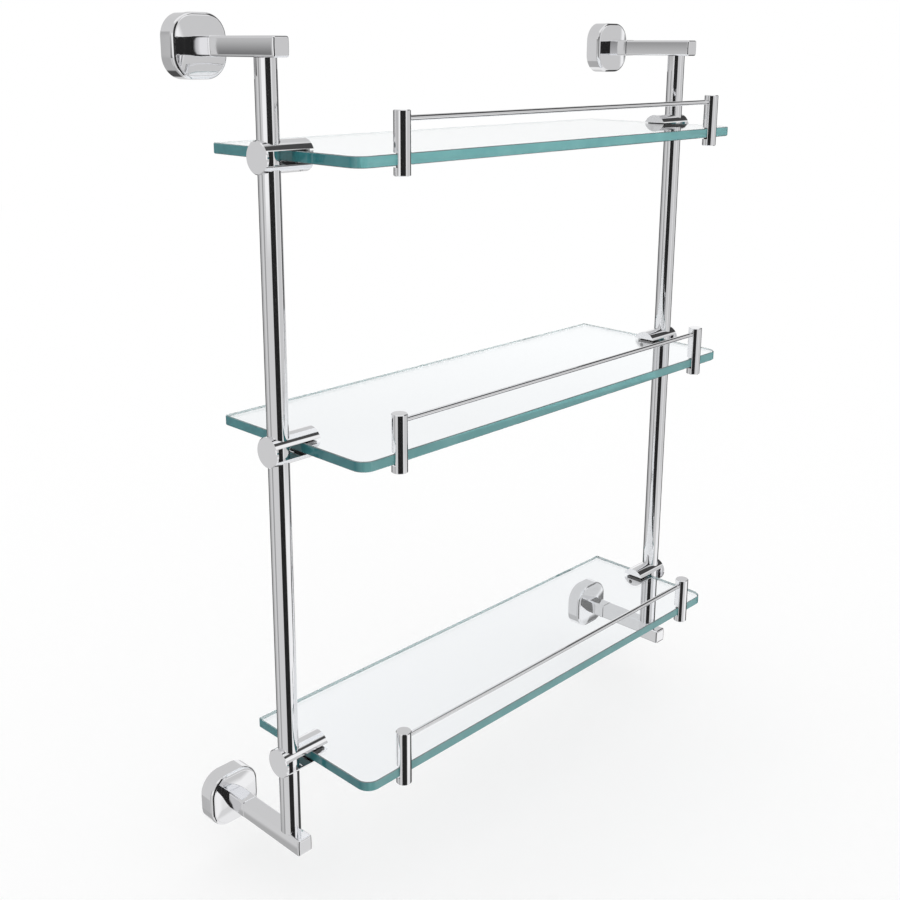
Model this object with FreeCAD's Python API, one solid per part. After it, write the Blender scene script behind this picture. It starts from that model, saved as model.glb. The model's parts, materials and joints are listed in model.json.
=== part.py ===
"""Three-tier wall-mounted glass bathroom shelf with chromed posts, cross clamps and low gallery rails.

All sizes are in millimetres. +X runs to the right along the wall, +Y points into the wall and +Z is up.
The origin lies on the wall plane, in the middle of the rectangle of wall screws, so the shelf is at Y <= 0.
"""
import FreeCAD, Part
import os

Vec = FreeCAD.Vector
X_AXIS, Y_AXIS, Z_AXIS = Vec(1, 0, 0), Vec(0, 1, 0), Vec(0, 0, 1)
ORIGIN = Vec(0, 0, 0)

# Driving dimensions of the frame
POST_SPACING = 480.0
BRACKET_SPACING = 600.0
POST_REACH = 88.0
POST_DIAMETER = 16.0
POST_WALL = 2.0

# Wall brackets: flange with its rolled rim, low dome and neck, then the square arm with swollen sides
FLANGE_SIDE = 46.0
FLANGE_CORNER = 14.0
FLANGE_RIM_DEPTH = 14.7
FLANGE_RIM_ROUND = 3.0
FLANGE_DOME = 1.8
DOME_SHARES = (1.0, 0.68, 0.34)
POCKET_SIDE = 34.6
POCKET_CORNER = 8.0
POCKET_DEPTH = 11.5
NECK_SIDE = 14.4
NECK_END = 35.0
SOCKET_SIDE = 10.1
SOCKET_CORNER = 1.0
SOCKET_DEPTH = 12.0
SPIGOT_CLEARANCE = 0.05
SPIGOT_SHORTER = 0.5
ARM_SIDE = 14.0
ARM_SWELL = 0.35
ARM_EDGE_ROUND = 1.8
ARM_OVERHANG = 17.5
SEAM_BEVEL = 0.35

# Hidden wall plates, wider at the front than at the wall
PLATE_FRONT_SIDE = 34.0
PLATE_BACK_SIDE = 31.0
PLATE_CORNER = 7.0
PLATE_THICKNESS = 5.0
PLATE_HOLE_SPACING = 20.0
PLATE_HOLE_RADIUS = 2.4

# Shelves: height of each pane's middle plane, and how deep each pane is from its front edge
SHELF_HEIGHT = {"upper": 228.0, "middle": 20.0, "lower": -231.0}
PANE_DEPTH = {"upper": 160.0, "middle": 160.0, "lower": 132.0}
PANE_LENGTH = 450.0
PANE_THICKNESS = 8.0
PANE_FRONT_REACH = 162.0
PANE_FRONT_CORNER = 18.0
PANE_REAR_CORNER = 2.0
PANE_ARRIS = 0.6

# Cross clamps: round bars that the posts pass through and the panes slide into
CLAMP_DIAMETER = 23.0
CLAMP_INNER_END = 209.5
CLAMP_OUTER_END = 250.5
CLAMP_DISC = 1.9
CLAMP_BEVEL = 0.6
CLAMP_BORE_CLEARANCE = 0.05
PAD_ABOVE = 0.6
PAD_BELOW = 1.2
PAD_INSET = 1.5
PAD_WIDTH = 16.0

# Gallery: two notched pegs on the pane's front edge with a thin rail between them
PEG_DIAMETER = 12.0
PEG_SPACING = 374.0
PEG_SHIFT = {"upper": 1.5, "middle": -2.5, "lower": 0.0}
PEG_TOP = 32.5
PEG_BOTTOM = -11.0
PEG_SET_BACK = 1.0
PEG_BEVEL = 0.5
PEG_PAD_RADIUS = 2.4
PEG_PAD_SET_BACK = 2.6
NOTCH_PAST_GLASS = 0.6
RAIL_DIAMETER = 3.0
RAIL_HEIGHT = 26.7
RAIL_DEPTH_IN_PEG = 7.0
RAIL_CLEARANCE = 0.05

# Screws: thread radii, and the proportions of their heads, points and key recesses
M3, M4, M5, M6 = 1.5, 2.0, 2.5, 3.0
THREAD_GAP = 0.05
CLEARANCE_HOLE = 0.25
HEAD_PER_THREAD = 1.65
HEAD_SEAT_PER_THREAD = 1.75
HEAD_BEVEL_PER_THREAD = 0.12
HEAD_KEY_DEPTH = 0.55
POINT_PER_THREAD = 0.45
POINT_TIP = 0.5
SET_KEY_PER_THREAD = 0.5
SET_KEY_DEPTH = 0.4
SCREW_STANDOFF = 0.3
SCREW_SUNK = 0.2
FLANGE_SCREW_DEPTH = 4.0
FLANGE_SCREW_LENGTH = 5.2
ARM_BOLT_LENGTH = 30.0
TAP_PAST_BOLT = 2.0
POST_SCREW_HEAD = 6.0
POST_SCREW_GRIP = 14.0
PLUG_LENGTH = 20.0
PLUG_GAP = 0.02
LOCK_Y, LOCK_Z = 2.5, -8.1
LOCK_LENGTH = 8.0
NIP_INSET, NIP_Y = 7.5, -5.0

# How far a cutting tool runs past the face it opens, and how near a point counts as on a plane
PAST = 1.0
NEAR = 1e-6

# Places that follow from the driving dimensions
POST_X = POST_SPACING / 2
POST_Y = -POST_REACH
POST_RADIUS = POST_DIAMETER / 2
BRACKET_Z = BRACKET_SPACING / 2
POST_HALF = BRACKET_Z - ARM_SIDE / 2
CLAMP_RADIUS = CLAMP_DIAMETER / 2
GLASS_FACE = PANE_THICKNESS / 2
SLOT_TOP = GLASS_FACE + PAD_ABOVE
SLOT_BOTTOM = -GLASS_FACE - PAD_BELOW
NIP_X = CLAMP_INNER_END + NIP_INSET
PEG_RADIUS = PEG_DIAMETER / 2
PEG_Y = -PANE_FRONT_REACH + PEG_SET_BACK
PEG_PAD_Y = PEG_Y + PEG_PAD_SET_BACK


def block(low, high):
    """A plain box between two corners."""
    return Part.makeBox(high[0] - low[0], high[1] - low[1], high[2] - low[2], Vec(*low))


def rod(radius, start, end):
    """A round rod between two points."""
    run = Vec(*end) - Vec(*start)
    return Part.makeCylinder(radius, run.Length, Vec(*start), run)


def edges_in_plane(shape, axis, level):
    """The edges that lie wholly in one plane square to an axis, such as the rim of an end face."""
    def middle(edge):
        return edge.valueAt((edge.FirstParameter + edge.LastParameter) / 2)
    return [edge for edge in shape.Edges
            if all(abs(spot.dot(axis) - level) < NEAR for spot in
                   [vertex.Point for vertex in edge.Vertexes] + [middle(edge)])]


def edges_along(shape, axis):
    """The straight edges that run along an axis."""
    return [edge for edge in shape.Edges
            if isinstance(edge.Curve, Part.Line) and abs(abs(edge.Curve.Direction.dot(axis)) - 1) < NEAR]


def rounded_bar(side, corner, back, front):
    """A square bar along Y with rounded corners, centred on the Y axis."""
    half = side / 2
    bar = block((-half, front, -half), (half, back, half))
    return bar.makeFillet(corner, edges_along(bar, Y_AXIS))


def swollen_bar(side, back, front):
    """A square bar along Y with flat top and bottom, slightly swollen sides and rounded corners."""
    half = side / 2
    edge = half - ARM_SWELL
    low_left, low_right = Vec(-edge, front, -half), Vec(edge, front, -half)
    top_left, top_right = Vec(-edge, front, half), Vec(edge, front, half)
    outline = [
        Part.LineSegment(low_left, low_right),
        Part.Arc(low_right, Vec(half, front, 0), top_right),
        Part.LineSegment(top_right, top_left),
        Part.Arc(top_left, Vec(-half, front, 0), low_left),
    ]
    bar = Part.Face(Part.Wire([line.toShape() for line in outline])).extrude(Vec(0, back - front, 0))
    return bar.makeFillet(ARM_EDGE_ROUND, edges_along(bar, Y_AXIS))


def rounded_square_wire(side, corner, level):
    """The outline of a rounded square in the plane Y = level."""
    bar = rounded_bar(side, corner, level, level - PAST)
    return Part.Wire(Part.sortEdges(edges_in_plane(bar, Y_AXIS, level))[0])


def hexagon_recess(radius, depth):
    """A hexagon key recess that opens at Z = 0 and goes down."""
    corners = [FreeCAD.Rotation(Z_AXIS, 60 * step).multVec(Vec(radius, 0, 0)) for step in range(7)]
    return Part.Face(Part.makePolygon(corners)).extrude(Vec(0, 0, -depth))


def cap_screw(thread, length, head_height):
    """A socket-head cap screw: the head fills 0 to head_height and the shank hangs below Z = 0."""
    head = Part.makeCylinder(thread * HEAD_PER_THREAD, head_height)
    head = head.makeChamfer(thread * HEAD_BEVEL_PER_THREAD, edges_in_plane(head, Z_AXIS, head_height))
    shank = rod(thread - THREAD_GAP, (0, 0, -length), (0, 0, 0))
    recess = hexagon_recess(thread, head_height * HEAD_KEY_DEPTH)
    recess.translate(Vec(0, 0, head_height))
    return head.fuse(shank).cut(recess).removeSplitter()


def set_screw(thread, length):
    """A set screw with a cone point at Z = length and its key recess at Z = 0."""
    radius = thread - THREAD_GAP
    shoulder = length - radius * POINT_PER_THREAD
    body = rod(radius, (0, 0, 0), (0, 0, shoulder))
    cone = Part.makeCone(radius, radius * POINT_TIP, length - shoulder, Vec(0, 0, shoulder))
    recess = hexagon_recess(thread * SET_KEY_PER_THREAD, length * SET_KEY_DEPTH)
    recess.rotate(ORIGIN, X_AXIS, 180)
    return body.fuse(cone).removeSplitter().cut(recess)


def turned(shape, axis, angle, spot):
    """A copy of a shape turned about an axis through the origin and then moved to a spot."""
    copy = shape.copy()
    copy.rotate(ORIGIN, axis, angle)
    copy.translate(Vec(*spot))
    return copy


def moved(shape, spot):
    """A copy of a shape moved by a spot's coordinates."""
    return turned(shape, Z_AXIS, 0, spot)


def mirrored_x(shape):
    """The left-hand twin of a right-hand piece."""
    return shape.mirror(ORIGIN, X_AXIS)


# Wall brackets, built round the Y axis and moved to their corners later
def make_wall_plate():
    """A dovetailed plate, wider at the front so that the set screw draws the flange to the wall."""
    front, back = PLATE_FRONT_SIDE / 2, PLATE_BACK_SIDE / 2
    plate = Part.makeWedge(-front, -PLATE_THICKNESS, -front, -back, -back, front, 0, front, back, back)
    slanted = [edge for edge in plate.Edges if abs(edge.Vertexes[0].Y - edge.Vertexes[-1].Y) > NEAR]
    plate = plate.makeFillet(PLATE_CORNER, slanted)
    for side in (-1, 1):
        z = side * PLATE_HOLE_SPACING / 2
        plate = plate.cut(rod(PLATE_HOLE_RADIUS, (0, -PLATE_THICKNESS - PAST, z), (0, PAST, z)))
    return plate


def make_dome():
    """The low pillow on the flange's front, flattest in the middle where the neck stands."""
    side = FLANGE_SIDE - 2 * FLANGE_RIM_ROUND
    corner = FLANGE_CORNER - FLANGE_RIM_ROUND
    sections = []
    for share in DOME_SHARES:
        level = -FLANGE_RIM_DEPTH - FLANGE_DOME * (1 - share ** 2)
        sections.append(rounded_square_wire(side * share, corner * share, level))
    return Part.makeLoft(sections, True)


def make_flange():
    """A domed rounded-square cap with a pocket for the wall plate and a square neck with a socket."""
    cap = rounded_bar(FLANGE_SIDE, FLANGE_CORNER, 0, -FLANGE_RIM_DEPTH)
    cap = cap.makeFillet(FLANGE_RIM_ROUND, edges_in_plane(cap, Y_AXIS, -FLANGE_RIM_DEPTH))
    neck = swollen_bar(NECK_SIDE, -FLANGE_RIM_DEPTH, -NECK_END)
    neck = neck.makeChamfer(SEAM_BEVEL, edges_in_plane(neck, Y_AXIS, -NECK_END))
    pocket = rounded_bar(POCKET_SIDE, POCKET_CORNER, PAST, -POCKET_DEPTH)
    socket = rounded_bar(SOCKET_SIDE, SOCKET_CORNER, -NECK_END + SOCKET_DEPTH, -NECK_END - PAST)
    bolt_hole = rod(M5 + CLEARANCE_HOLE, (0, 0, 0), (0, -NECK_END, 0))
    thread = rod(M4, (0, -FLANGE_SCREW_DEPTH, 0), (0, -FLANGE_SCREW_DEPTH, -FLANGE_SIDE))
    body = cap.fuse([make_dome(), neck])
    return body.cut([pocket, socket, bolt_hole, thread]).removeSplitter()


def make_arm(up):
    """A square arm with a softened front end, counterbored for the post screw on its far face."""
    front = -POST_REACH - ARM_OVERHANG
    bar = swollen_bar(ARM_SIDE, -NECK_END, front)
    bar = bar.makeFillet(ARM_EDGE_ROUND, edges_in_plane(bar, Y_AXIS, front))
    bar = bar.makeChamfer(SEAM_BEVEL, edges_in_plane(bar, Y_AXIS, -NECK_END))
    spigot_end = -NECK_END + SOCKET_DEPTH - SPIGOT_SHORTER
    spigot = rounded_bar(SOCKET_SIDE - 2 * SPIGOT_CLEARANCE, SOCKET_CORNER, spigot_end, -NECK_END)
    tapped = rod(M5, (0, 0, 0), (0, -POCKET_DEPTH - ARM_BOLT_LENGTH - TAP_PAST_BOLT, 0))
    half = ARM_SIDE / 2
    through = rod(M6 + CLEARANCE_HOLE, (0, POST_Y, -half), (0, POST_Y, half))
    seat_radius = M6 * HEAD_SEAT_PER_THREAD
    seat = rod(seat_radius, (0, POST_Y, up * (half - POST_SCREW_HEAD)), (0, POST_Y, up * half))
    return bar.fuse(spigot).cut([tapped, through, seat]).removeSplitter()


def make_arm_bolt():
    """The bolt that pulls the arm into the flange's neck from inside the pocket."""
    return turned(cap_screw(M5, ARM_BOLT_LENGTH, 2 * M5), X_AXIS, -90, (0, -POCKET_DEPTH, 0))


def make_flange_screw():
    """The set screw under the flange that grips the wall plate's lower edge."""
    tip = -PLATE_FRONT_SIDE / 2 - SCREW_STANDOFF
    return moved(set_screw(M4, FLANGE_SCREW_LENGTH), (0, -FLANGE_SCREW_DEPTH, tip - FLANGE_SCREW_LENGTH))


# Posts and what holds their ends
def make_post():
    """A round tube that stands between the two arms of one side."""
    ends = (0, POST_Y, -POST_HALF), (0, POST_Y, POST_HALF)
    return rod(POST_RADIUS, *ends).cut(rod(POST_RADIUS - POST_WALL, *ends))


def make_post_plug(up):
    """The tapped plug inside one end of a post."""
    ends = (0, POST_Y, up * (POST_HALF - PLUG_LENGTH)), (0, POST_Y, up * POST_HALF)
    return rod(POST_RADIUS - POST_WALL - PLUG_GAP, *ends).cut(rod(M6, *ends))


def make_post_screw(up):
    """The cap screw that holds a post's plug to its arm, sunk in the arm's far face."""
    seat = BRACKET_Z + ARM_SIDE / 2 - POST_SCREW_HEAD
    screw = cap_screw(M6, ARM_SIDE - POST_SCREW_HEAD + POST_SCREW_GRIP, POST_SCREW_HEAD)
    return turned(screw, X_AXIS, 0 if up > 0 else 180, (0, POST_Y, up * seat))


# Shelves, built at Z = 0 and lifted to their heights later
def make_pane(depth):
    """A glass pane with well rounded front corners, nipped rear corners and ground arrises."""
    half_length = PANE_LENGTH / 2
    front, rear = -PANE_FRONT_REACH, -PANE_FRONT_REACH + depth
    pane = block((-half_length, front, -GLASS_FACE), (half_length, rear, GLASS_FACE))
    for level, corner in ((front, PANE_FRONT_CORNER), (rear, PANE_REAR_CORNER)):
        upright = [edge for edge in edges_along(pane, Z_AXIS) if abs(edge.CenterOfMass.y - level) < NEAR]
        pane = pane.makeFillet(corner, upright)
    rims = edges_in_plane(pane, Z_AXIS, GLASS_FACE) + edges_in_plane(pane, Z_AXIS, -GLASS_FACE)
    return pane.makeChamfer(PANE_ARRIS, rims)


def make_clamp():
    """The right-hand clamp: a round bar cross-drilled for the post and slotted up to its thin end disc."""
    bar = rod(CLAMP_RADIUS, (CLAMP_INNER_END, POST_Y, 0), (CLAMP_OUTER_END, POST_Y, 0))
    bar = bar.makeChamfer(CLAMP_BEVEL, edges_in_plane(bar, X_AXIS, CLAMP_OUTER_END))
    bore = rod(POST_RADIUS + CLAMP_BORE_CLEARANCE,
               (POST_X, POST_Y, -CLAMP_DIAMETER), (POST_X, POST_Y, CLAMP_DIAMETER))
    slot = block((CLAMP_INNER_END - PAST, POST_Y - CLAMP_DIAMETER, SLOT_BOTTOM),
                 (CLAMP_OUTER_END - CLAMP_DISC, POST_Y + CLAMP_DIAMETER, SLOT_TOP))
    lock = rod(M4, (CLAMP_INNER_END - PAST, POST_Y + LOCK_Y, LOCK_Z), (POST_X, POST_Y + LOCK_Y, LOCK_Z))
    nip = rod(M3, (NIP_X, POST_Y + NIP_Y, -CLAMP_RADIUS), (NIP_X, POST_Y + NIP_Y, 0))
    return bar.cut([slot, bore, lock, nip]).removeSplitter()


def make_lock_screw():
    """The set screw in the clamp's lower jaw that grips the post."""
    touch = LOCK_Y + M4 / 2
    post_side = POST_X - (POST_RADIUS ** 2 - touch ** 2) ** 0.5
    tip = post_side - SCREW_STANDOFF - M4 / 2
    return turned(set_screw(M4, LOCK_LENGTH), Y_AXIS, 90, (tip - LOCK_LENGTH, POST_Y + LOCK_Y, LOCK_Z))


def make_nip_screw():
    """The set screw under the clamp that presses the lower pad up against the glass."""
    foot = SCREW_SUNK - (CLAMP_RADIUS ** 2 - (NIP_Y - M3) ** 2) ** 0.5
    return moved(set_screw(M3, SLOT_BOTTOM - foot), (NIP_X, POST_Y + NIP_Y, foot))


def make_clamp_pads():
    """The soft pads above and below the glass inside one clamp."""
    inner, outer = CLAMP_INNER_END + PAD_INSET, PANE_LENGTH / 2 - PAD_INSET
    rear, front = POST_Y + PAD_WIDTH / 2, POST_Y - PAD_WIDTH / 2
    above = block((inner, front, GLASS_FACE), (outer, rear, SLOT_TOP))
    below = block((inner, front, SLOT_BOTTOM), (outer, rear, -GLASS_FACE))
    return [above, below]


def make_peg(side):
    """A gallery peg: a round rod notched at the back for the glass and drilled inwards for the rail."""
    peg = rod(PEG_RADIUS, (0, PEG_Y, PEG_BOTTOM), (0, PEG_Y, PEG_TOP))
    rims = edges_in_plane(peg, Z_AXIS, PEG_TOP) + edges_in_plane(peg, Z_AXIS, PEG_BOTTOM)
    peg = peg.makeChamfer(PEG_BEVEL, rims)
    notch = block((-PEG_RADIUS - PAST, -PANE_FRONT_REACH - NOTCH_PAST_GLASS, SLOT_BOTTOM),
                  (PEG_RADIUS + PAST, PEG_Y + PEG_RADIUS + PAST, SLOT_TOP))
    hole_end = side * (RAIL_DEPTH_IN_PEG - PEG_RADIUS + RAIL_CLEARANCE)
    rail_hole = rod(RAIL_DIAMETER / 2 + RAIL_CLEARANCE,
                    (hole_end, PEG_Y, RAIL_HEIGHT), (-side * (PEG_RADIUS + PAST), PEG_Y, RAIL_HEIGHT))
    screw_hole = rod(M3, (0, PEG_PAD_Y, PEG_BOTTOM), (0, PEG_PAD_Y, SLOT_BOTTOM))
    return peg.cut([notch, rail_hole, screw_hole]).removeSplitter()


def make_rail():
    """The thin rail between a pair of pegs."""
    reach = PEG_SPACING / 2 - PEG_RADIUS + RAIL_DEPTH_IN_PEG
    return rod(RAIL_DIAMETER / 2, (-reach, PEG_Y, RAIL_HEIGHT), (reach, PEG_Y, RAIL_HEIGHT))


def make_peg_screw():
    """The set screw under a peg that presses its pad up against the glass."""
    foot = PEG_BOTTOM + SCREW_SUNK
    return moved(set_screw(M3, SLOT_BOTTOM - foot), (0, PEG_PAD_Y, foot))


def make_peg_pads():
    """The soft discs above and below the glass inside one peg's notch."""
    above = rod(PEG_PAD_RADIUS, (0, PEG_PAD_Y, GLASS_FACE), (0, PEG_PAD_Y, SLOT_TOP))
    below = rod(PEG_PAD_RADIUS, (0, PEG_PAD_Y, SLOT_BOTTOM), (0, PEG_PAD_Y, -GLASS_FACE))
    return [above, below]


def build_frame():
    """Brackets, posts and the hidden screws that stay with the wall."""
    nodes = {}
    plate, flange, post = make_wall_plate(), make_flange(), make_post()
    screws = {"flange_set_screws": [], "arm_bolts": [], "post_plugs": [], "post_screws": []}
    for row, up in (("upper", 1), ("lower", -1)):
        arm = make_arm(up)
        for hand, side in (("left", -1), ("right", 1)):
            corner = (side * POST_X, 0, up * BRACKET_Z)
            foot = (side * POST_X, 0, 0)
            nodes[f"wall_plate_{row}_{hand}"] = moved(plate, corner)
            nodes[f"flange_{row}_{hand}"] = moved(flange, corner)
            nodes[f"arm_{row}_{hand}"] = moved(arm, corner)
            screws["flange_set_screws"].append(moved(make_flange_screw(), corner))
            screws["arm_bolts"].append(moved(make_arm_bolt(), corner))
            screws["post_plugs"].append(moved(make_post_plug(up), foot))
            screws["post_screws"].append(moved(make_post_screw(up), foot))
    for hand, side in (("left", -1), ("right", 1)):
        nodes[f"post_{hand}"] = moved(post, (side * POST_X, 0, 0))
    nodes.update({name: Part.makeCompound(solids) for name, solids in screws.items()})
    return nodes


def build_shelf(name):
    """One pane with its two clamps, its gallery and their pads and screws."""
    lift = (0, 0, SHELF_HEIGHT[name])
    clamp = make_clamp()
    nodes = {
        f"{name}_glass": moved(make_pane(PANE_DEPTH[name]), lift),
        f"{name}_clamp_right": moved(clamp, lift),
        f"{name}_clamp_left": moved(mirrored_x(clamp), lift),
        f"{name}_rail": moved(make_rail(), (PEG_SHIFT[name], 0, SHELF_HEIGHT[name])),
    }
    clamp_groups = {
        "lock_screws": [make_lock_screw()],
        "nip_screws": [make_nip_screw()],
        "clamp_pads": make_clamp_pads(),
    }
    for label, right in clamp_groups.items():
        solids = right + [mirrored_x(shape) for shape in right]
        nodes[f"{name}_{label}"] = Part.makeCompound([moved(shape, lift) for shape in solids])
    peg_screws, peg_pads = [], []
    for hand, side in (("left", -1), ("right", 1)):
        spot = (side * PEG_SPACING / 2 + PEG_SHIFT[name], 0, SHELF_HEIGHT[name])
        nodes[f"{name}_peg_{hand}"] = moved(make_peg(side), spot)
        peg_screws.append(moved(make_peg_screw(), spot))
        peg_pads += [moved(pad, spot) for pad in make_peg_pads()]
    nodes[f"{name}_peg_screws"] = Part.makeCompound(peg_screws)
    nodes[f"{name}_peg_pads"] = Part.makeCompound(peg_pads)
    return nodes


def main():
    os.makedirs("parts", exist_ok=True)
    nodes = build_frame()
    for name in SHELF_HEIGHT:
        nodes.update(build_shelf(name))
    for name, shape in nodes.items():
        shape.exportStep(f"parts/{name}.step")


main()
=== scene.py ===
"""Looks of the wall-mounted glass bathroom shelf: polished chrome, clear glass with teal edges, black pads.

Metres throughout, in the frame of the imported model: +X right along the wall, +Y into the wall, +Z up.
"""
import json
import math

import bpy
from mathutils import Matrix, Vector


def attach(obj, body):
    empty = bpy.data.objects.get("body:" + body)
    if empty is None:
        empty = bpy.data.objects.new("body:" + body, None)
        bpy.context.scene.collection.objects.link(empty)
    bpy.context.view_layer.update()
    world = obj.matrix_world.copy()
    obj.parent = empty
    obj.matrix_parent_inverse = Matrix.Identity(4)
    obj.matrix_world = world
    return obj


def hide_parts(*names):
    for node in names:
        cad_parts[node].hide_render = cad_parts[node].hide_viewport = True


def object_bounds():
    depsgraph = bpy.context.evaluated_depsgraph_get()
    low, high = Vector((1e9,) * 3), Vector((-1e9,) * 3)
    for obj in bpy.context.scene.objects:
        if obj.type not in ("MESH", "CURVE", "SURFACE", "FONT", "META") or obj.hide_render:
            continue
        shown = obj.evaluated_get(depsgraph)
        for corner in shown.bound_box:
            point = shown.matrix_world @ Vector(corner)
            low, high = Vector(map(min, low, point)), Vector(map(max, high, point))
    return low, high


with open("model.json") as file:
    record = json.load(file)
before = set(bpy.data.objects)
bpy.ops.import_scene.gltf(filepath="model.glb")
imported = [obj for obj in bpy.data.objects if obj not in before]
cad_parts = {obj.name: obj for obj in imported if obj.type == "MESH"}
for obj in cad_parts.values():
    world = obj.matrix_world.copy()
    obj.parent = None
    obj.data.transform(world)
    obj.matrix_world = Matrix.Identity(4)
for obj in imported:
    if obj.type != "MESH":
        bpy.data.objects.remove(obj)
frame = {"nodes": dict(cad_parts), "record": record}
cad_low, cad_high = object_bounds()
scene = bpy.context.scene

# Names that repeat: the shelves from the top down, and the places of the wall flanges
SHELVES = ("upper", "middle", "lower")
FLANGES = ("upper_left", "upper_right", "lower_left", "lower_right")

# Panes: radius of their front corners as packed, and as the photograph shows it
PACKED_PANE_CORNER = 0.018
SHOWN_PANE_CORNER = 0.011

# Rails, which keep their packed radius inside the pegs: the radius that the photograph shows between the
# pegs, how deep the ends sit in the pegs, the gap between a peg and the shoulder where the rail thickens,
# the sides of its round and the angle from which an edge stays sharp
RAIL_RADIUS = 0.002
RAIL_DEPTH_IN_PEG = 0.007
SHOULDER_GAP = 0.00005
RAIL_SIDES = 32
SHARP_ANGLE = math.radians(30)

# Wall flanges: half side, rolled rim and corner radius as packed, the radius that the photograph shows, how
# far out on the face, as a share, the change begins, and the pocket behind, which stays as it is
FLANGE_HALF = 0.023
RIM_ROUND = 0.003
PACKED_FLANGE_CORNER = 0.014
SHOWN_FLANGE_CORNER = 0.017
FIRST_SHARE = 0.5
POCKET_HALF = 0.0173
POCKET_DEPTH = 0.0115
FACE_HALF = FLANGE_HALF - RIM_ROUND
FACE_CORNER = PACKED_FLANGE_CORNER - RIM_ROUND
CORNER_CENTRE = FLANGE_HALF - PACKED_FLANGE_CORNER

# How near a point counts as on a line
NEAR = 0.00001

# The whole span of a ramp, upwards and downwards. The noises below are given by their scale and detail.
UNIT = (0.0, 1.0)
FALLING = (1.0, 0.0)

# Chrome: its colour, the span of its roughness, its haze and its slight waves
CHROME_COLOUR = (0.86, 0.86, 0.875)
CHROME_ROUGHNESS = (0.03, 0.06)
CHROME_HAZE = (90.0, 4.0)
HAZE_SPAN = (0.3, 0.7)
CHROME_WAVES = (35.0, 1.0)
WAVE_STRENGTH = 0.008
WAVE_HEIGHT = 0.001

# Glass: the colour of its clear faces, the dark and light teal and the streaks of its long and short edges,
# how level a surface is from edge to face, how squarely it faces along the shelf from a long edge to a short
# one, how clear an edge is, and the index and tint inside
CLEAR_GLASS = (0.985, 0.985, 1.0)
LONG_EDGE_TEALS = ((0.18, 0.50, 0.51), (0.32, 0.68, 0.68))
LONG_EDGE_STREAKS = (60.0, 2.0)
SHORT_EDGE_TEALS = ((0.04, 0.22, 0.25), (0.10, 0.36, 0.38))
SHORT_EDGE_STREAKS = (90.0, 2.0)
EDGE_TO_FACE = (0.5, 0.9)
LONG_TO_SHORT = (0.6, 0.98)
EDGE_CLEARNESS = 0.35
GLASS_INDEX = 1.5
GLASS_TINT = (0.3, 0.8, 0.8)
TINT_DENSITY = 3.0

# Zinc-plated steel: its darker and lighter mottling and the span of its roughness
STEEL_COLOURS = ((0.52, 0.53, 0.56), (0.70, 0.71, 0.73))
STEEL_ROUGHNESS = (0.25, 0.42)
STEEL_MOTTLE = (900.0, 3.0)
MOTTLE_SPAN = (0.2, 0.8)

# Brass: its colour, the span of its roughness and the rings from the lathe
BRASS_COLOUR = (0.76, 0.58, 0.28)
BRASS_ROUGHNESS = (0.22, 0.38)
RING_SCALE = 900.0
RING_WOBBLE = 0.4

# Pads: the two blacks of their grain, their roughness and the grain's relief
PAD_BLACKS = ((0.006, 0.006, 0.007), (0.02, 0.02, 0.022))
PAD_ROUGHNESS = 0.55
PAD_GRAIN = (2500.0, 2.0)
GRAIN_STRENGTH = 0.2
GRAIN_HEIGHT = 0.0002

# Camera: where the eye stands, how it is turned and how its lens is set
EYE = Vector((-0.739, -0.741, 0.301))
EYE_YAW = -0.8024
EYE_PITCH = -0.2571
EYE_ROLL = 0.0052
LENS_MM = 47.8
SENSOR_MM = 36.0
SHIFT_UP = -0.1
NEAREST_SEEN = 0.01

# Floor: how far below the shelf it lies, its spread and its brightness
FLOOR_GAP = 0.03
FLOOR_SPREAD = 8.0
FLOOR_ALBEDO = 0.5

# Black flag in front of the shelf that only mirrors see: its two ends on plan, its foot and head, its grey
FLAG_ENDS = ((-0.156, -0.774), (-0.371, -0.239))
FLAG_FOOT = -1.2
FLAG_HEAD = 0.6
FLAG_BLACK = 0.03

# Small grey cards left of the upper arms that only mirrors see, which shade the arms' sides: the middle
# height and half height of all, then the two ends on plan of each and the greys of its foot and head
CARD_LEVEL = 0.30
CARD_HALF = 0.022
CARDS = [
    (((-0.33, -0.02), (-0.33, 0.075)), (0.13, 0.62)),
    (((0.15, -0.08), (0.15, 0.028)), (0.60, 0.30)),
]

# What the eye, glass and matt faces see all round, and half a turn in degrees
WHITE = (1.0, 1.0, 1.0)
HALF_TURN = 180.0

# The room as mirrors see it, painted in this order over plain walls. Each panel has the span of its bearing
# from the front towards the left, the span of its elevation and the softness of its edges, in degrees, and
# then its grey.
PLAIN_WALL = 0.67
PANELS = [
    # Ceiling and its dimmer back, then the floor with its dimmer left rear
    ((-180, 180), (54, 90), 5, 0.92),
    ((-225, -112), (28, 90), 8, 0.66),
    ((-180, 60), (-90, -43), 3, 0.92),
    ((95, 185), (-90, -37), 3, 0.45),
    # Right rear: a white strip along the horizon, which the upper pane shows
    ((-155, -112), (-4, 14), 4, 1.0),
    # Left wall, with the bright strip that the flanges' rolled rims catch, and the dark behind the eye
    ((44, 103), (-48, 40), 3, 0.68),
    ((48, 82), (-7, 12), 3, 1.0),
    ((28, 42), (-48, 40), 2, 0.03),
    # Left rear corner: a grey seam, a dimmer wall, and the dark doorway behind
    ((105, 117), (-48, 10), 3, 0.36),
    ((148, 176), (-36, 12), 3, 0.45),
    ((176, 199), (-38, 8), 5, 0.08),
    # Front right: a softbox, dimmer across its middle and foot, with its dark frame to the right and above
    ((-69, -14), (-42, 38), 3, 1.0),
    ((-62, -20), (-19, 20), 4, 0.64),
    ((-62, -20), (-42, -36), 3, 0.74),
    ((-104, -74), (-40, 44), 4, 0.08),
    ((-104, -50), (27, 44), 3, 0.06),
    ((-114, -62), (-48, -25), 3, 0.06),
    ((-84, -36), (41, 51), 3, 0.07),
]


def grey(level):
    """A neutral colour of this brightness."""
    return (level, level, level)


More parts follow.
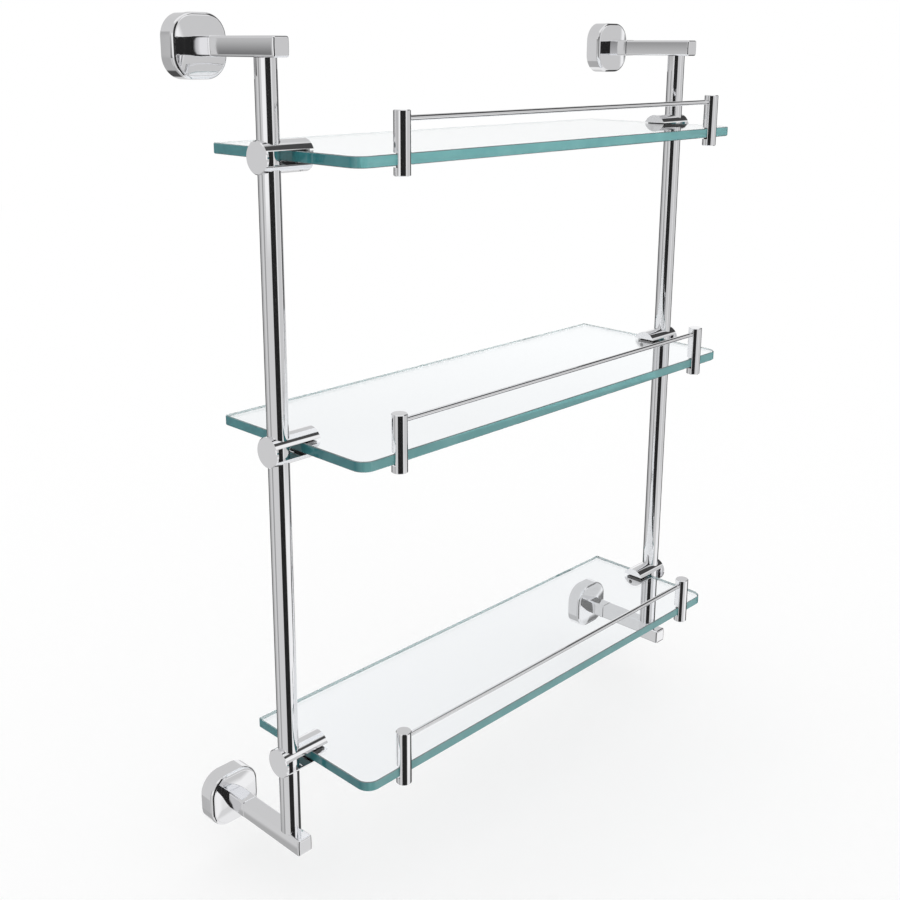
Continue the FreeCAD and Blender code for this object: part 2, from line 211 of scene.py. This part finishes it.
def opaque(colour):
    """A colour as the sockets of shader nodes take it."""
    return (*colour, 1.0)


def link(tree, source, target):
    """Joins an output socket to an input socket."""
    tree.links.new(source, target)


def fill(tree, socket, value):
    """Links a socket if the value is one, and otherwise sets it."""
    if hasattr(value, "is_output"):
        link(tree, value, socket)
    else:
        socket.default_value = value


def node(tree, kind, **inputs):
    """Adds a shader node and fills its input sockets by name."""
    made = tree.nodes.new(kind)
    for name, value in inputs.items():
        fill(tree, made.inputs[name.replace("_", " ")], value)
    return made


def reckon(tree, operation, *values):
    """The result of a math node on sockets or plain numbers."""
    made = tree.nodes.new("ShaderNodeMath")
    made.operation = operation
    for socket, value in zip(made.inputs, values):
        fill(tree, socket, value)
    return made.outputs["Value"]


def ramp(tree, factor, span, result):
    """Maps a factor from one span of values to another."""
    spans = {"From_Min": span[0], "From_Max": span[1], "To_Min": result[0], "To_Max": result[1]}
    return node(tree, "ShaderNodeMapRange", Value=factor, **spans).outputs["Result"]


def blend(tree, factor, first, second):
    """Mixes two colours, given as sockets or as red, green and blue."""
    made = tree.nodes.new("ShaderNodeMix")
    made.data_type = "RGBA"
    link(tree, factor, made.inputs["Factor"])
    for name, colour in (("A", first), ("B", second)):
        fill(tree, made.inputs[name], colour if hasattr(colour, "is_output") else opaque(colour))
    return made.outputs["Result"]


def fresh_material(name):
    """An empty node material with its output node."""
    made = bpy.data.materials.new(name)
    made.use_nodes = True
    made.node_tree.nodes.clear()
    out = made.node_tree.nodes.new("ShaderNodeOutputMaterial")
    return made, made.node_tree, out


def object_place(tree):
    """Where a shaded point lies on its own object."""
    return tree.nodes.new("ShaderNodeTexCoord").outputs["Object"]


def noise(tree, pattern):
    """A noise of this scale and detail that stays with the object, from 0 to 1."""
    scale, detail = pattern
    made = node(tree, "ShaderNodeTexNoise", Vector=object_place(tree), Scale=scale, Detail=detail)
    return made.outputs["Fac"]


def chrome_material():
    """Polished chrome plate: a mirror with a faint haze and very slight waviness."""
    made, tree, out = fresh_material("polished_chrome")
    waves = noise(tree, CHROME_WAVES)
    bump = node(tree, "ShaderNodeBump", Height=waves, Strength=WAVE_STRENGTH, Distance=WAVE_HEIGHT)
    shader = node(tree, "ShaderNodeBsdfPrincipled", Metallic=1.0, Normal=bump.outputs["Normal"],
                  Base_Color=opaque(CHROME_COLOUR),
                  Roughness=ramp(tree, noise(tree, CHROME_HAZE), HAZE_SPAN, CHROME_ROUGHNESS))
    link(tree, shader.outputs["BSDF"], out.inputs["Surface"])
    return made


def glass_material():
    """Clear float glass: clear faces, teal ground edges with faint streaks, a tint that deepens inside."""
    made, tree, out = fresh_material("float_glass")
    normal = tree.nodes.new("ShaderNodeNewGeometry").outputs["Normal"]
    facing = node(tree, "ShaderNodeSeparateXYZ", Vector=normal).outputs
    edge = ramp(tree, reckon(tree, "ABSOLUTE", facing["Z"]), EDGE_TO_FACE, FALLING)
    at_end = ramp(tree, reckon(tree, "ABSOLUTE", facing["X"]), LONG_TO_SHORT, UNIT)
    long_edge = blend(tree, noise(tree, LONG_EDGE_STREAKS), *LONG_EDGE_TEALS)
    short_edge = blend(tree, noise(tree, SHORT_EDGE_STREAKS), *SHORT_EDGE_TEALS)
    teal = blend(tree, at_end, long_edge, short_edge)
    shader = node(tree, "ShaderNodeBsdfPrincipled", Roughness=0.0, IOR=GLASS_INDEX,
                  Base_Color=blend(tree, edge, CLEAR_GLASS, teal),
                  Transmission_Weight=ramp(tree, edge, UNIT, (1.0, EDGE_CLEARNESS)))
    absorb = node(tree, "ShaderNodeVolumeAbsorption", Density=TINT_DENSITY, Color=opaque(GLASS_TINT))
    link(tree, shader.outputs["BSDF"], out.inputs["Surface"])
    link(tree, absorb.outputs["Volume"], out.inputs["Volume"])
    return made


def steel_material():
    """Zinc-plated steel: a dull bluish metal with a mottled finish."""
    made, tree, out = fresh_material("zinc_plated_steel")
    mottle = noise(tree, STEEL_MOTTLE)
    shader = node(tree, "ShaderNodeBsdfPrincipled", Metallic=1.0,
                  Base_Color=blend(tree, mottle, *STEEL_COLOURS),
                  Roughness=ramp(tree, mottle, MOTTLE_SPAN, STEEL_ROUGHNESS))
    link(tree, shader.outputs["BSDF"], out.inputs["Surface"])
    return made


def brass_material():
    """Bare turned brass with fine rings from the lathe."""
    made, tree, out = fresh_material("turned_brass")
    place = object_place(tree)
    rings = node(tree, "ShaderNodeTexWave", Vector=place, Scale=RING_SCALE, Distortion=RING_WOBBLE)
    rings.bands_direction = "Z"
    shader = node(tree, "ShaderNodeBsdfPrincipled", Metallic=1.0, Base_Color=opaque(BRASS_COLOUR),
                  Roughness=ramp(tree, rings.outputs["Fac"], UNIT, BRASS_ROUGHNESS))
    link(tree, shader.outputs["BSDF"], out.inputs["Surface"])
    return made


def pad_material():
    """Black soft plastic with a fine moulded grain."""
    made, tree, out = fresh_material("black_pad")
    grain = noise(tree, PAD_GRAIN)
    bump = node(tree, "ShaderNodeBump", Height=grain, Strength=GRAIN_STRENGTH, Distance=GRAIN_HEIGHT)
    shader = node(tree, "ShaderNodeBsdfPrincipled", Roughness=PAD_ROUGHNESS, Normal=bump.outputs["Normal"],
                  Base_Color=blend(tree, grain, *PAD_BLACKS))
    link(tree, shader.outputs["BSDF"], out.inputs["Surface"])
    return made


def make_finishes():
    """The material of every slot."""
    return {
        "chrome": chrome_material(),
        "glass": glass_material(),
        "zinc_steel": steel_material(),
        "brass": brass_material(),
        "pad": pad_material(),
    }


def dress_nodes(finishes):
    """Gives every node of the model the material of its slot."""
    for row in frame["record"]["subparts"]:
        mesh = frame["nodes"][row["node"]].data
        mesh.materials.clear()
        mesh.materials.append(finishes[row["material_slot"]])


def stand_for(packed, mesh, body, finish):
    """Adds a piece of this mesh in the place of one node of the model, on its body."""
    piece = bpy.data.objects.new(f"{packed.name}_shown", mesh)
    scene.collection.objects.link(piece)
    piece.matrix_world = packed.matrix_world
    mesh.materials.clear()
    mesh.materials.append(finish)
    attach(piece, body)
    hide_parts(packed.name)


def face_share(across, up):
    """How far out a point of a flange's face lies: zero in its middle, one on its packed outline."""
    if min(across, up) * FACE_HALF < CORNER_CENTRE * max(across, up):
        return max(across, up) / FACE_HALF
    root = math.sqrt(FACE_CORNER ** 2 * (across ** 2 + up ** 2) - (CORNER_CENTRE * (across - up)) ** 2)
    return (CORNER_CENTRE * (across + up) - root) / (2 * CORNER_CENTRE ** 2 - FACE_CORNER ** 2)


def round_cornered_flange(packed):
    """A copy of a wall flange whose outline has the rounder corners that the photograph shows.

    The centres of its corners move towards its middle, and its straight sides stay in their planes. The
    change fades out over the face towards the neck. The pocket and the set screw's hole keep their shape.
    """
    mesh = packed.data.copy()
    across = [vertex.co.x for vertex in mesh.vertices]
    up = [vertex.co.z for vertex in mesh.vertices]
    middle = Vector((min(across) + max(across), min(up) + max(up))) / 2
    for vertex in mesh.vertices:
        place = vertex.co.xz - middle
        reach = Vector((abs(place.x), abs(place.y)))
        share = min(face_share(*reach), 1.0)
        centre = share * CORNER_CENTRE
        in_pocket_or_side = max(reach) < POCKET_HALF + NEAR or min(reach) < centre - NEAR
        if share < FIRST_SHARE or (in_pocket_or_side and vertex.co.y > -POCKET_DEPTH - NEAR):
            continue
        spoke = Vector((max(reach.x - centre, 0.0), max(reach.y - centre, 0.0)))
        growth = (SHOWN_FLANGE_CORNER - PACKED_FLANGE_CORNER) * (share - FIRST_SHARE) / (1 - FIRST_SHARE)
        shift = growth * min(min(reach) / centre, 1.0) * (spoke.normalized() - Vector((1.0, 1.0)))
        vertex.co.x += math.copysign(1.0, place.x) * shift.x
        vertex.co.z += math.copysign(1.0, place.y) * shift.y
    return mesh


def refine_flanges(finishes):
    """Gives every wall flange its rounder corners."""
    for corner in FLANGES:
        flange = frame["nodes"][f"flange_{corner}"]
        stand_for(flange, round_cornered_flange(flange), "wall_frame", finishes["chrome"])


def tight_cornered_pane(packed):
    """A copy of a pane whose front corners have the smaller radius that the photograph shows."""
    mesh = packed.data.copy()
    half_length = max(vertex.co.x for vertex in mesh.vertices)
    front = min(vertex.co.y for vertex in mesh.vertices)
    for vertex in mesh.vertices:
        side = math.copysign(1.0, vertex.co.x)
        centre = Vector((side * (half_length - PACKED_PANE_CORNER), front + PACKED_PANE_CORNER))
        spoke = vertex.co.xy - centre
        if side * spoke.x > -NEAR and spoke.y < NEAR:
            shift = (PACKED_PANE_CORNER - SHOWN_PANE_CORNER) * (Vector((side, -1.0)) - spoke.normalized())
            vertex.co.x += shift.x
            vertex.co.y += shift.y
    return mesh


def shouldered_rail(packed):
    """A gallery rail that is thicker between its pegs and keeps its packed ends inside them."""
    places = [[vertex.co[axis] for vertex in packed.data.vertices] for axis in range(3)]
    (left, right), (front, rear), (low, high) = ((min(place), max(place)) for place in places)
    inset = RAIL_DEPTH_IN_PEG + SHOULDER_GAP
    end_radius = (high - low) / 2
    profile = [(left, end_radius), (left + inset, end_radius), (left + inset, RAIL_RADIUS),
               (right - inset, RAIL_RADIUS), (right - inset, end_radius), (right, end_radius)]
    points, faces = [], []
    for place, radius in profile:
        for step in range(RAIL_SIDES):
            angle = 2 * math.pi * step / RAIL_SIDES
            points.append((place, (front + rear) / 2 + radius * math.cos(angle),
                           (low + high) / 2 + radius * math.sin(angle)))
    for ring in range(0, len(points) - RAIL_SIDES, RAIL_SIDES):
        for step in range(RAIL_SIDES):
            this, after = ring + step, ring + (step + 1) % RAIL_SIDES
            faces.append((this, after, after + RAIL_SIDES, this + RAIL_SIDES))
    faces.append(tuple(reversed(range(RAIL_SIDES))))
    faces.append(tuple(range(len(points) - RAIL_SIDES, len(points))))
    mesh = bpy.data.meshes.new(packed.name)
    mesh.from_pydata(points, [], faces)
    mesh.shade_smooth()
    mesh.set_sharp_from_angle(angle=SHARP_ANGLE)
    return mesh


def refine_shelves(finishes):
    """Gives every shelf its tight-cornered pane and its thicker rail."""
    for shelf in SHELVES:
        pane, rail = frame["nodes"][f"{shelf}_glass"], frame["nodes"][f"{shelf}_rail"]
        stand_for(pane, tight_cornered_pane(pane), f"{shelf}_shelf", finishes["glass"])
        stand_for(rail, shouldered_rail(rail), f"{shelf}_shelf", finishes["chrome"])


def build_floor():
    """A pale floor below the shelf, white to the eye and through glass, that keeps the soft shadow.

    From below it is clear, so that the shelf's underside can be looked at. Mirrors see the room instead.
    """
    made, tree, out = fresh_material("pale_floor")
    matt = node(tree, "ShaderNodeBsdfDiffuse", Color=opaque(grey(FLOOR_ALBEDO)))
    path = tree.nodes.new("ShaderNodeLightPath").outputs
    seen = reckon(tree, "MAXIMUM", path["Is Camera Ray"], path["Is Transmission Ray"])
    glow = node(tree, "ShaderNodeEmission", Strength=ramp(tree, seen, UNIT, (0.0, 1.0 - FLOOR_ALBEDO)))
    both = tree.nodes.new("ShaderNodeAddShader")
    link(tree, matt.outputs["BSDF"], both.inputs[0])
    link(tree, glow.outputs["Emission"], both.inputs[1])
    below = tree.nodes.new("ShaderNodeNewGeometry").outputs["Backfacing"]
    sides = node(tree, "ShaderNodeMixShader", Fac=reckon(tree, "MULTIPLY", below, path["Is Camera Ray"]))
    link(tree, both.outputs["Shader"], sides.inputs[1])
    link(tree, tree.nodes.new("ShaderNodeBsdfTransparent").outputs["BSDF"], sides.inputs[2])
    link(tree, sides.outputs["Shader"], out.inputs["Surface"])
    bpy.ops.mesh.primitive_plane_add(size=FLOOR_SPREAD, location=(0.0, 0.0, cad_low.z - FLOOR_GAP))
    floor = bpy.context.object
    floor.name = "floor"
    floor.data.materials.append(made)
    floor.visible_glossy = False


def hang_card(name, ends, foot, head, material):
    """An upright studio card between two points on plan, which only mirrors see."""
    near, far = ends
    corners = [(*near, foot), (*far, foot), (*far, head), (*near, head)]
    mesh = bpy.data.meshes.new(name)
    mesh.from_pydata(corners, [], [(0, 1, 2, 3)])
    mesh.materials.append(material)
    card = bpy.data.objects.new(name, mesh)
    scene.collection.objects.link(card)
    card.visible_camera = False
    card.visible_diffuse = False
    card.visible_transmission = False
    card.visible_shadow = False


def build_flag():
    """The studio's black flag, which gives the posts and pegs their dark stripes."""
    made, tree, out = fresh_material("black_cloth")
    matt = node(tree, "ShaderNodeBsdfDiffuse", Color=opaque(grey(FLAG_BLACK)))
    link(tree, matt.outputs["BSDF"], out.inputs["Surface"])
    hang_card("flag", FLAG_ENDS, FLAG_FOOT, FLAG_HEAD, made)


def build_cards():
    """The grey cards beside the upper arms, each shaded from its foot to its head."""
    span = (CARD_LEVEL - CARD_HALF, CARD_LEVEL + CARD_HALF)
    for number, (ends, greys) in enumerate(CARDS):
        made, tree, out = fresh_material(f"shaded_card_{number}")
        height = node(tree, "ShaderNodeSeparateXYZ", Vector=object_place(tree)).outputs["Z"]
        glow = node(tree, "ShaderNodeEmission", Strength=ramp(tree, height, span, greys))
        link(tree, glow.outputs["Emission"], out.inputs["Surface"])
        hang_card(f"card_{number}", ends, *span, made)


def within(tree, angle, span, soft):
    """One inside a span of degrees, zero outside it, with soft edges."""
    middle, half = (span[0] + span[1]) / 2, (span[1] - span[0]) / 2
    turn = reckon(tree, "WRAP", reckon(tree, "SUBTRACT", angle, middle), HALF_TURN, -HALF_TURN)
    return ramp(tree, reckon(tree, "ABSOLUTE", turn), (half + soft, half), UNIT)


def build_world():
    """White to the eye, through glass and to matt faces, while mirrors see the room's walls and panels."""
    world = bpy.data.worlds.new("studio")
    scene.world = world
    world.use_nodes = True
    tree = world.node_tree
    tree.nodes.clear()
    out = tree.nodes.new("ShaderNodeOutputWorld")
    way = tree.nodes.new("ShaderNodeTexCoord").outputs["Generated"]
    parts = node(tree, "ShaderNodeSeparateXYZ", Vector=way).outputs
    left, front = (reckon(tree, "MULTIPLY", parts[axis], -1.0) for axis in ("X", "Y"))
    bearing = reckon(tree, "DEGREES", reckon(tree, "ARCTAN2", left, front))
    elevation = reckon(tree, "DEGREES", reckon(tree, "ARCSINE", parts["Z"]))
    room = grey(PLAIN_WALL)
    for bearings, elevations, soft, level in PANELS:
        covered = reckon(tree, "MULTIPLY", within(tree, bearing, bearings, soft),
                         within(tree, elevation, elevations, soft))
        room = blend(tree, covered, room, grey(level))
    path = tree.nodes.new("ShaderNodeLightPath").outputs
    mirrored = reckon(tree, "SUBTRACT", path["Is Glossy Ray"], path["Is Transmission Ray"])
    shade = node(tree, "ShaderNodeBackground", Strength=1.0, Color=blend(tree, mirrored, WHITE, room))
    link(tree, shade.outputs["Background"], out.inputs["Surface"])


def build_camera():
    """The eye of the photograph, turned by yaw about the vertical, then by its own pitch and roll."""
    lens = bpy.data.cameras.new("eye")
    lens.sensor_width = SENSOR_MM
    lens.lens = LENS_MM
    lens.shift_y = SHIFT_UP
    lens.clip_start = NEAREST_SEEN
    camera = bpy.data.objects.new("eye", lens)
    turn = Matrix.Rotation(EYE_YAW, 4, "Z") @ Matrix.Rotation(math.pi / 2 + EYE_PITCH, 4, "X")
    camera.matrix_world = Matrix.Translation(EYE) @ turn @ Matrix.Rotation(EYE_ROLL, 4, "Z")
    scene.collection.objects.link(camera)
    scene.camera = camera


def main():
    """Dresses the model, adds the refined pieces and builds the studio and the camera."""
    scene.view_settings.view_transform = "Standard"
    finishes = make_finishes()
    dress_nodes(finishes)
    refine_flanges(finishes)
    refine_shelves(finishes)
    build_floor()
    build_flag()
    build_cards()
    build_world()
    build_camera()


main()
